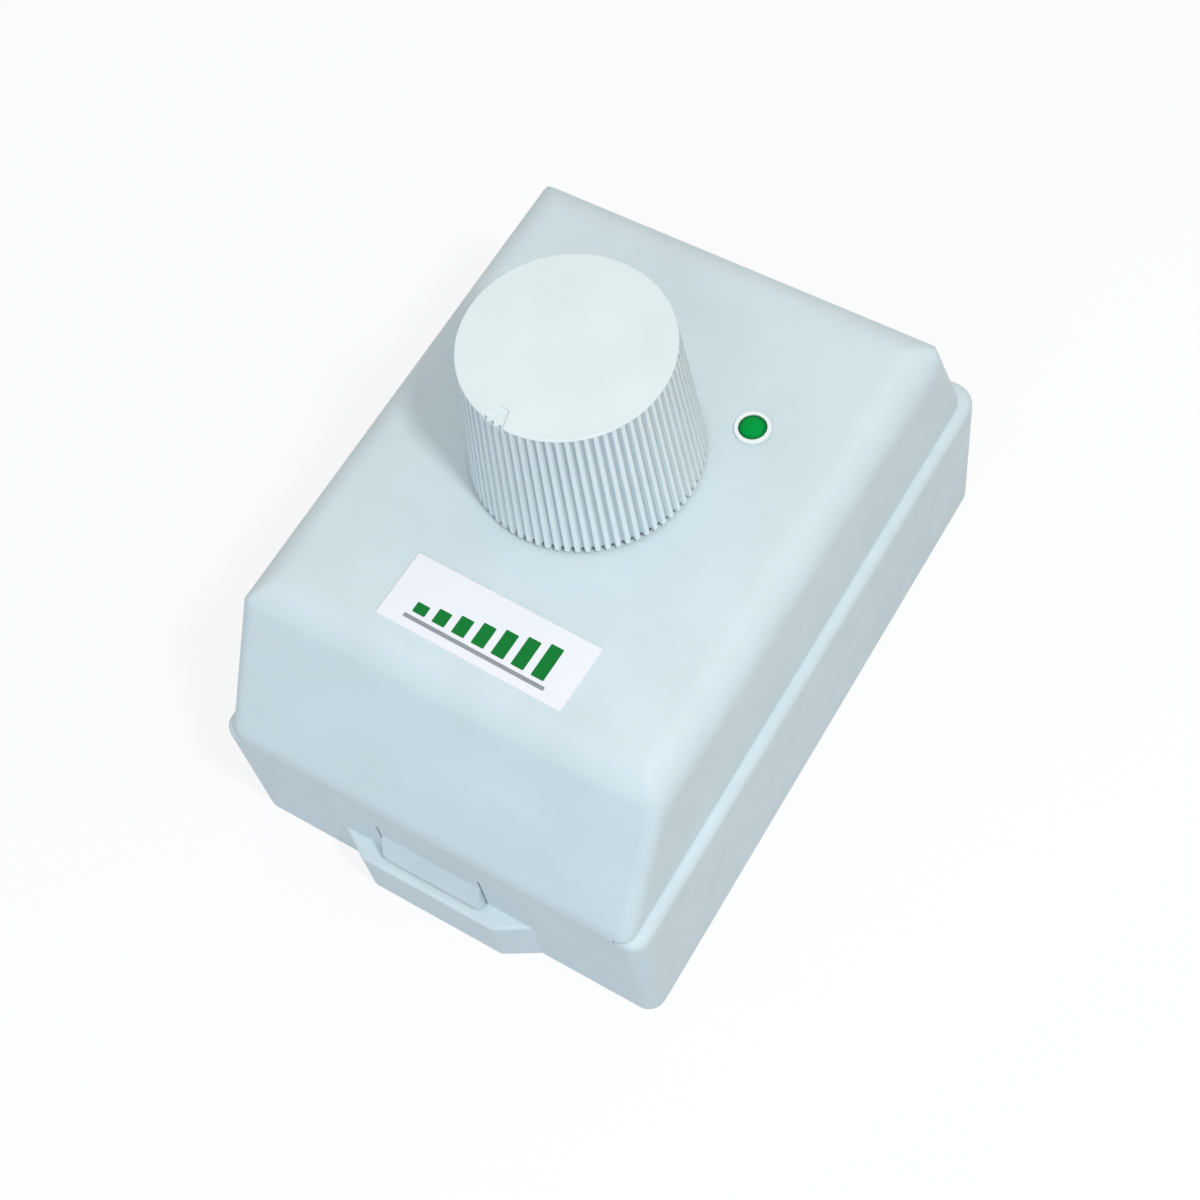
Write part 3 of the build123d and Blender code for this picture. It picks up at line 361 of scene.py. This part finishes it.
def make_world():
    """White where the camera, gloss or glass looks, and a softer light for the rest."""
    world = bpy.data.worlds.new("studio")
    world.use_nodes = True
    bpy.context.scene.world = world
    nodes, links = world.node_tree.nodes, world.node_tree.links
    strength = nodes.new("ShaderNodeMapRange")
    strength.inputs["To Min"].default_value = WORLD_LEVEL
    strength.inputs["To Max"].default_value = 1.0
    links.new(white_where_seen(nodes, links), strength.inputs["Value"])
    nodes["Background"].inputs["Color"].default_value = WHITE
    links.new(strength.outputs["Result"], nodes["Background"].inputs["Strength"])


def make_floor():
    """A floor that is white where it is seen, but for a light shadow, and pale grey to the part."""
    half = FLOOR_SIZE / 2
    corners = [(-half, -half, 0), (half, -half, 0), (half, half, 0), (-half, half, 0)]
    mesh = bpy.data.meshes.new("floor")
    mesh.from_pydata(corners, [], [tuple(range(len(corners)))])
    floor = put_in_scene("floor", mesh)
    finish = Finish("floor_white")
    finish.put("Roughness", FLOOR_ROUGHNESS)
    seen = white_where_seen(finish.nodes, finish.links)
    finish.wire("Base Color", finish.mix(seen, FLOOR_BOUNCE, WHITE))
    glow = finish.nodes.new("ShaderNodeEmission")
    blend = finish.nodes.new("ShaderNodeMixShader")
    finish.links.new(finish.calc("MULTIPLY", seen, 1 - FLOOR_SHADOW), blend.inputs["Fac"])
    finish.links.new(finish.shader.outputs["BSDF"], blend.inputs[1])
    finish.links.new(glow.outputs["Emission"], blend.inputs[2])
    finish.links.new(blend.outputs["Shader"], finish.nodes["Material Output"].inputs["Surface"])
    mesh.materials.append(finish.material)


def softbox(name, place, target, size, power, tint):
    """A square area lamp that points at a target."""
    data = bpy.data.lights.new(name, "AREA")
    data.shape = "SQUARE"
    data.size = size
    data.energy = power
    data.color = tint
    lamp = put_in_scene(name, data)
    lamp.location = place
    lamp.rotation_euler = (Vector(target) - Vector(place)).to_track_quat("-Z", "Y").to_euler()


make_camera()
make_world()
make_floor()
softbox("key_light", KEY_PLACE, KEY_TARGET, KEY_SIZE, KEY_POWER, KEY_TINT)
softbox("fill_light", FILL_PLACE, FILL_TARGET, FILL_SIZE, FILL_POWER, FILL_TINT)

# Casing. The cover's crown corners are softer than its other edges, from and to these heights
CROWN_SOFT_FROM_MM = 24.0
CROWN_SOFT_TO_MM = 29.0
CROWN_EDGE_MM = 1.1
CROWN_SOFTNESS_MM = (CROWN_SOFT_FROM_MM, CROWN_SOFT_TO_MM, CROWN_EDGE_MM)
dress(moulded("shell_white", SHELL_WHITE, rough=0.5, sheen=0.35), "base_housing", "release_latch")
dress(moulded("cover_white", SHELL_WHITE, rough=0.5, sheen=0.35, high=CROWN_SOFTNESS_MM), "cover")
dress(moulded("ring_white", RING_WHITE, rough=0.3, edge_mm=0.08, mottle=0.01), "lamp_bezel")
dress(
    moulded("label_white", LABEL_WHITE, rough=0.36, grain_mm=0.3, depth_mm=0.002, mottle=0.01),
    "front_label",
)

# Knob: the flutes' depth under the wall at which their painted shade starts, is full and stops again
KNOB_HEAD_RADIUS_MM = 10.9
KNOB_RIM_MM = 0.3
FLUTE_START_MM = 0.23
FLUTE_FLOOR_MM = 0.36
FLUTE_PAST_MM = 0.5
FLUTE_FOOT_MM = 0.45


def flute_painted_shade(finish, body):
    """Painted shade: darkens the flutes' floors, and most where they end at the knob's foot."""
    low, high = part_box("knob")
    foot = low[2] / MM
    head = high[2] / MM
    foot_radius = (high[0] - low[0]) / MM / 2
    height = finish.height_mm()
    wall = finish.remap(height, foot_radius, KNOB_HEAD_RADIUS_MM, foot, head)
    depth = finish.calc("SUBTRACT", wall, finish.radius_mm(middle("knob")))
    inside = finish.remap(depth, 0.0, 1.0, FLUTE_START_MM, FLUTE_FLOOR_MM)
    hollow = finish.calc("MULTIPLY", inside, finish.calc("LESS_THAN", depth, FLUTE_PAST_MM))
    below_rim = finish.calc("LESS_THAN", height, head - KNOB_RIM_MM)
    flutes = finish.mix(finish.calc("MULTIPLY", hollow, below_rim), body, FLUTE_PAINTED_SHADE)
    near_foot = finish.remap(height, 1.0, 0.0, foot + FLUTE_FOOT_MM / 2, foot + FLUTE_FOOT_MM)
    return finish.mix(finish.calc("MULTIPLY", hollow, near_foot), flutes, FLUTE_FOOT_PAINTED_SHADE)


# Knob plastic with painted shade in its flutes and at their foot
dress(moulded("knob_white", KNOB_WHITE, rough=0.45, edge_mm=0.1, painted_shade=flute_painted_shade), "knob")

# Lamp: the radii between which painted shade darkens it, its cloud, its gloss and its waves
LAMP_LENS_MM = 1.0
LAMP_RIM_MM = 1.5
LAMP_CLOUD_MM = 0.8
LAMP_DARKEST = 0.92
LAMP_LIGHTEST = 1.08
LAMP_GLOSS_MM = 0.4
LAMP_SMOOTHEST = 0.3
LAMP_ROUGHEST = 0.4
LAMP_WAVE_MM = 1.2
LAMP_SHEEN = 0.05
CLEAR_WAVE_DEPTH_MM = 0.004


def lamp_finish():
    """Clear green plastic, with painted shade darkening it towards its rim."""
    finish = Finish("lamp_green")
    cloud = finish.remap(finish.noise(LAMP_CLOUD_MM), 0.0, 1.0)
    lens = finish.mix(cloud, shade(LAMP_GREEN, LAMP_DARKEST), shade(LAMP_GREEN, LAMP_LIGHTEST))
    # Painted shade: darker towards the rim, where the ring shades the lens
    rim_shade = finish.remap(finish.radius_mm(middle("lamp_body")), 0.0, 1.0, LAMP_LENS_MM, LAMP_RIM_MM)
    finish.wire("Base Color", finish.mix(rim_shade, lens, LAMP_RIM_PAINTED_SHADE))
    finish.wire("Roughness", finish.remap(finish.noise(LAMP_GLOSS_MM), LAMP_SMOOTHEST, LAMP_ROUGHEST))
    finish.bump(finish.noise(LAMP_WAVE_MM), CLEAR_WAVE_DEPTH_MM)
    finish.put("Specular IOR Level", LAMP_SHEEN)
    return finish.material


dress(lamp_finish(), "lamp_body")

# Generic print on the label: a row of bars that grow with the level, over a thin grey rule
PRINT_THICK = 0.02 * MM
PRINT_SINK = 0.01 * MM
PRINT_CORNER = 0.1 * MM
PRINT_CORNER_STEPS = 3
LABEL_TURN = radians(-1.5)
BAR_COUNT = 7
BAR_WIDTH = 1.5 * MM
BAR_PITCH = 2.4 * MM
BAR_FOOT = -2.0 * MM
BAR_LOWEST = 1.2 * MM
BAR_RISE = 0.45 * MM
RULE_LENGTH = 17.0 * MM
RULE_WIDTH = 0.45 * MM
RULE_FOOT = -2.9 * MM

label_turn = Matrix.Rotation(LABEL_TURN, 3, "Z")
label_middle = middle("front_label")
label_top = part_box("front_label")[1][2]


def add_prism(shape, outline, low, high):
    """A flat upright prism on a closed outline."""
    lower = [shape.verts.new((x, y, low)) for x, y in outline]
    upper = [shape.verts.new((x, y, high)) for x, y in outline]
    shape.faces.new(lower)
    shape.faces.new(upper)
    for index in range(len(outline)):
        after = (index + 1) % len(outline)
        shape.faces.new((lower[index], lower[after], upper[after], upper[index]))


def close_mesh(name, shape, material, smooth):
    """Turns a mesh in the making, in metres, into an object of the scene."""
    bmesh.ops.recalc_face_normals(shape, faces=shape.faces)
    mesh = bpy.data.meshes.new(name)
    shape.to_mesh(mesh)
    shape.free()
    mesh.polygons.foreach_set("use_smooth", [smooth] * len(mesh.polygons))
    mesh.materials.append(material)
    return put_in_scene(name, mesh)


def ink(name, colour):
    """Printed colour, flatter and with less sheen than the moulded parts."""
    return moulded(name, colour, sheen=0.2, rough=0.4, grain_mm=0.2, depth_mm=0.001, edge_mm=0.02)


def soft_rectangle(left, right, foot, head):
    """The outline of a rectangle with rounded corners."""
    centres = (
        (right - PRINT_CORNER, head - PRINT_CORNER),
        (left + PRINT_CORNER, head - PRINT_CORNER),
        (left + PRINT_CORNER, foot + PRINT_CORNER),
        (right - PRINT_CORNER, foot + PRINT_CORNER),
    )
    outline = []
    for quarter, (x, y) in enumerate(centres):
        for step in range(PRINT_CORNER_STEPS + 1):
            angle = pi / 2 * (quarter + step / PRINT_CORNER_STEPS)
            outline.append((x + PRINT_CORNER * cos(angle), y + PRINT_CORNER * sin(angle)))
    return outline


def printed_patch(name, patches, material):
    """Flat print with softened corners that lies on the label, each patch given from the label's middle."""
    shape = bmesh.new()
    for patch in patches:
        outline = []
        for along, across in soft_rectangle(*patch):
            point = label_middle + label_turn @ Vector((along, across, 0))
            outline.append((point.x, point.y))
        add_prism(shape, outline, label_top - PRINT_SINK, label_top + PRINT_THICK)
    piece = close_mesh(name, shape, material, False)
    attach(piece, "cover")


first_bar = -(BAR_COUNT - 1) / 2 * BAR_PITCH - BAR_WIDTH / 2
bars = []
for index in range(BAR_COUNT):
    left = first_bar + index * BAR_PITCH
    bars.append((left, left + BAR_WIDTH, BAR_FOOT, BAR_FOOT + BAR_LOWEST + index * BAR_RISE))
rule = (-RULE_LENGTH / 2, RULE_LENGTH / 2, RULE_FOOT, RULE_FOOT + RULE_WIDTH)
printed_patch("label_bars", bars, ink("print_green", PRINT_GREEN))
printed_patch("label_rule", [rule], ink("print_grey", PRINT_GREY))

# Metal, board and package finishes inside
DRAWN_ALONG_X = (0.06, 1, 1)
plated = metal("zinc_plate", ZINC)
tinned = metal("tinned_wire", TIN, rough=0.28)
brass = metal("machined_brass", BRASS, rough=0.26)
bronze = metal("spring_bronze", BRONZE, rough=0.3)
dress(plated, "pot_washer", "pot_nut", "board_screws", "triac_screw", "triac_nut", "terminal_screws")
dress(tinned, "pot_legs", "switch_legs", "lamp_legs", "triac_tab", "triac_legs", "film_legs", "timing_legs")
dress(tinned, "fuse_legs", "resistor_legs", "diode_legs", "pot_can")
dress(brass, "pot_bushing", "pot_shaft", "terminal_clamps")
dress(bronze, "pot_wiper", "switch_contact")
dress(metal("fuse_plate", CAP_NICKEL, rough=0.18), "fuse_caps")
dress(metal("sink_aluminium", ALUMINIUM, rough=0.38, stretch=DRAWN_ALONG_X), "heat_sink")
dress(metal("coil_copper", WIRE_COPPER, rough=0.25), "choke_winding")
dress(moulded("core_ferrite", FERRITE, rough=0.6, depth_mm=0.01), "choke_core")
dress(moulded("switch_black", SWITCH_BLACK), "switch_case")
dress(moulded("package_black", PACKAGE_BLACK, rough=0.5), "triac_body")
dress(moulded("cam_ivory", CAM_IVORY), "switch_cam")
dress(moulded("track_brown", CARBON_BROWN, rough=0.4), "pot_track")
dress(moulded("board_laminate", LAMINATE, rough=0.35, grain_mm=0.5), "circuit_board")
dress(moulded("block_grey", BLOCK_GREY), "terminal_block")
dress(moulded("film_yellow", FILM_YELLOW, rough=0.28), "film_capacitor")
dress(moulded("timing_brown", TIMING_BROWN, rough=0.25), "timing_capacitor")
dress(moulded("resistor_beige", RESISTOR_BEIGE, rough=0.3), "resistors")
dress(moulded("diode_blue", DIODE_BLUE, rough=0.2), "trigger_diode")

# Glass of the fuse
GLASS_IOR = 1.48
GLASS_GLOSS_MM = 1.5
GLASS_SMOOTHEST = 0.02
GLASS_ROUGHEST = 0.06
GLASS_WAVE_MM = 2.0


def glass_finish():
    """Clear drawn glass with a faint wave."""
    finish = Finish("fuse_glass")
    finish.put("Base Color", GLASS_TINT)
    finish.put("Transmission Weight", 1.0)
    finish.put("IOR", GLASS_IOR)
    finish.wire("Roughness", finish.remap(finish.noise(GLASS_GLOSS_MM), GLASS_SMOOTHEST, GLASS_ROUGHEST))
    finish.bump(finish.noise(GLASS_WAVE_MM), CLEAR_WAVE_DEPTH_MM)
    return finish.material


dress(glass_finish(), "fuse_tube")

# Under the board: a solder joint at every leg, and the tracks that join them
SOLDER_FOOT_MM = 1.0
SOLDER_TIP_MM = 0.34
SOLDER_HEIGHT_MM = 0.9
SOLDER_HOLLOW = 2
SOLDER_RINGS = 6
SOLDER_SIDES = 20
LEG_REACH_MM = 0.3
LEG_APART_MM = 1.3
LEG_DIGITS = 2
TRACK_THICK_MM = 0.06
TRACK_STEP_MM = 0.01
TRACK_SINK_MM = 0.02
TRACK_WIDTH_MM = 1.7
TRACK_BEND_SIDES = 16
BOARD_LOW, BOARD_HIGH = (corner[2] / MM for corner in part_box("circuit_board"))


def leg_places(node):
    """Where a node's legs meet the board, in millimetres, sorted from left to right."""
    groups = []
    for vertex in NODES[node].data.vertices:
        point = NODES[node].matrix_world @ vertex.co / MM
        if abs(point.z - BOARD_HIGH) > LEG_REACH_MM:
            continue
        near = next((group for group in groups if (group[0] - point).xy.length < LEG_APART_MM), None)
        if near is None:
            groups.append([point])
        else:
            near.append(point)
    middles = [sum(group, Vector()) / len(group) for group in groups]
    return sorted((round(place.x, LEG_DIGITS), round(place.y, LEG_DIGITS)) for place in middles)


def add_piece(name, shape, material, body, smooth):
    """Turns a mesh in the making, in millimetres, into a piece that rides on a body."""
    bmesh.ops.scale(shape, vec=(MM, MM, MM), verts=shape.verts)
    piece = close_mesh(name, shape, material, smooth)
    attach(piece, body)


def add_solder(shape, x, y):
    """A hollow-sided cone of solder round one leg, under the board."""
    rings = []
    for step in range(SOLDER_RINGS + 1):
        along = step / SOLDER_RINGS
        radius = SOLDER_TIP_MM + (SOLDER_FOOT_MM - SOLDER_TIP_MM) * (1 - along) ** SOLDER_HOLLOW
        level = BOARD_LOW - SOLDER_HEIGHT_MM * along
        ring = []
        for side in range(SOLDER_SIDES):
            angle = 2 * pi * side / SOLDER_SIDES
            ring.append(shape.verts.new((x + radius * cos(angle), y + radius * sin(angle), level)))
        rings.append(ring)
    for upper, lower in zip(rings, rings[1:]):
        for side in range(SOLDER_SIDES):
            after = (side + 1) % SOLDER_SIDES
            shape.faces.new((upper[side], upper[after], lower[after], lower[side]))
    shape.faces.new(rings[0])
    tip = shape.verts.new((x, y, BOARD_LOW - SOLDER_HEIGHT_MM - SOLDER_TIP_MM / 2))
    for side in range(SOLDER_SIDES):
        shape.faces.new((rings[-1][side], rings[-1][(side + 1) % SOLDER_SIDES], tip))


def add_track(shape, points):
    """A copper track with round ends and bends along a line of points. Each run is a hair thicker."""
    half = TRACK_WIDTH_MM / 2
    for index, (start, end) in enumerate(zip(points, points[1:])):
        low = BOARD_LOW - TRACK_THICK_MM - index * TRACK_STEP_MM
        run = Vector(end) - Vector(start)
        turn = atan2(run.y, run.x)
        outline = []
        for centre, first in ((end, -pi / 2), (start, pi / 2)):
            for step in range(TRACK_BEND_SIDES + 1):
                angle = turn + first + pi * step / TRACK_BEND_SIDES
                outline.append((centre[0] + half * cos(angle), centre[1] + half * sin(angle)))
        add_prism(shape, outline, low, BOARD_LOW + TRACK_SINK_MM)


LEG_NODES = (
    "pot_legs",
    "switch_legs",
    "lamp_legs",
    "film_legs",
    "timing_legs",
    "fuse_legs",
    "resistor_legs",
    "diode_legs",
    "choke_winding",
)
legs = {node: leg_places(node) for node in LEG_NODES}
pot, switch, lamp, film, timing, fuse, resistor, diode, choke = legs.values()

# Where the tracks begin under the terminals, and where they bend between the legs, in millimetres
LEFT_TERMINAL = (-4.5, 15.0)
RIGHT_TERMINAL = (5.5, 15.0)
CHOKE_BEND = (-9.5, 12.0)
FUSE_BENDS = ((-15.0, -12.0), (-15.0, -19.5))
FILM_BENDS = ((15.2, -20.0), (17.0, -12.0))
SWITCH_BENDS = ((9.5, -4.0), (9.5, 5.0))
LAMP_BEND = (15.5, 8.0)
BACK_BENDS = ((12.5, 17.0), (8.0, 19.0))
POT_BENDS = ((-5.0, 0.0), (-1.5, -4.0))
TRACKS = (
    (LEFT_TERMINAL, CHOKE_BEND, choke[0]),
    (choke[1], *FUSE_BENDS, fuse[0]),
    (fuse[1], *FILM_BENDS, film[0]),
    (film[0], *SWITCH_BENDS, switch[1]),
    (film[1], LAMP_BEND, lamp[1], *BACK_BENDS),
    (lamp[0], RIGHT_TERMINAL),
    (switch[0], *POT_BENDS, pot[1]),
    (pot[0], resistor[2]),
    (resistor[5], pot[2]),
    (resistor[1], resistor[0]),
    (resistor[4], timing[0]),
    (resistor[3], diode[0]),
    (diode[1], timing[1]),
)
solder_joints, copper_tracks = bmesh.new(), bmesh.new()
for places in legs.values():
    for place in places:
        add_solder(solder_joints, *place)
for track in TRACKS:
    add_track(copper_tracks, track)
solder = metal("solder", SOLDER_GREY, rough=0.3, depth_mm=0.006)
copper = metal("track_copper", TRACK_COPPER, rough=0.36, depth_mm=0.002)
add_piece("solder_joints", solder_joints, solder, "cover", True)
add_piece("copper_tracks", copper_tracks, copper, "cover", False)
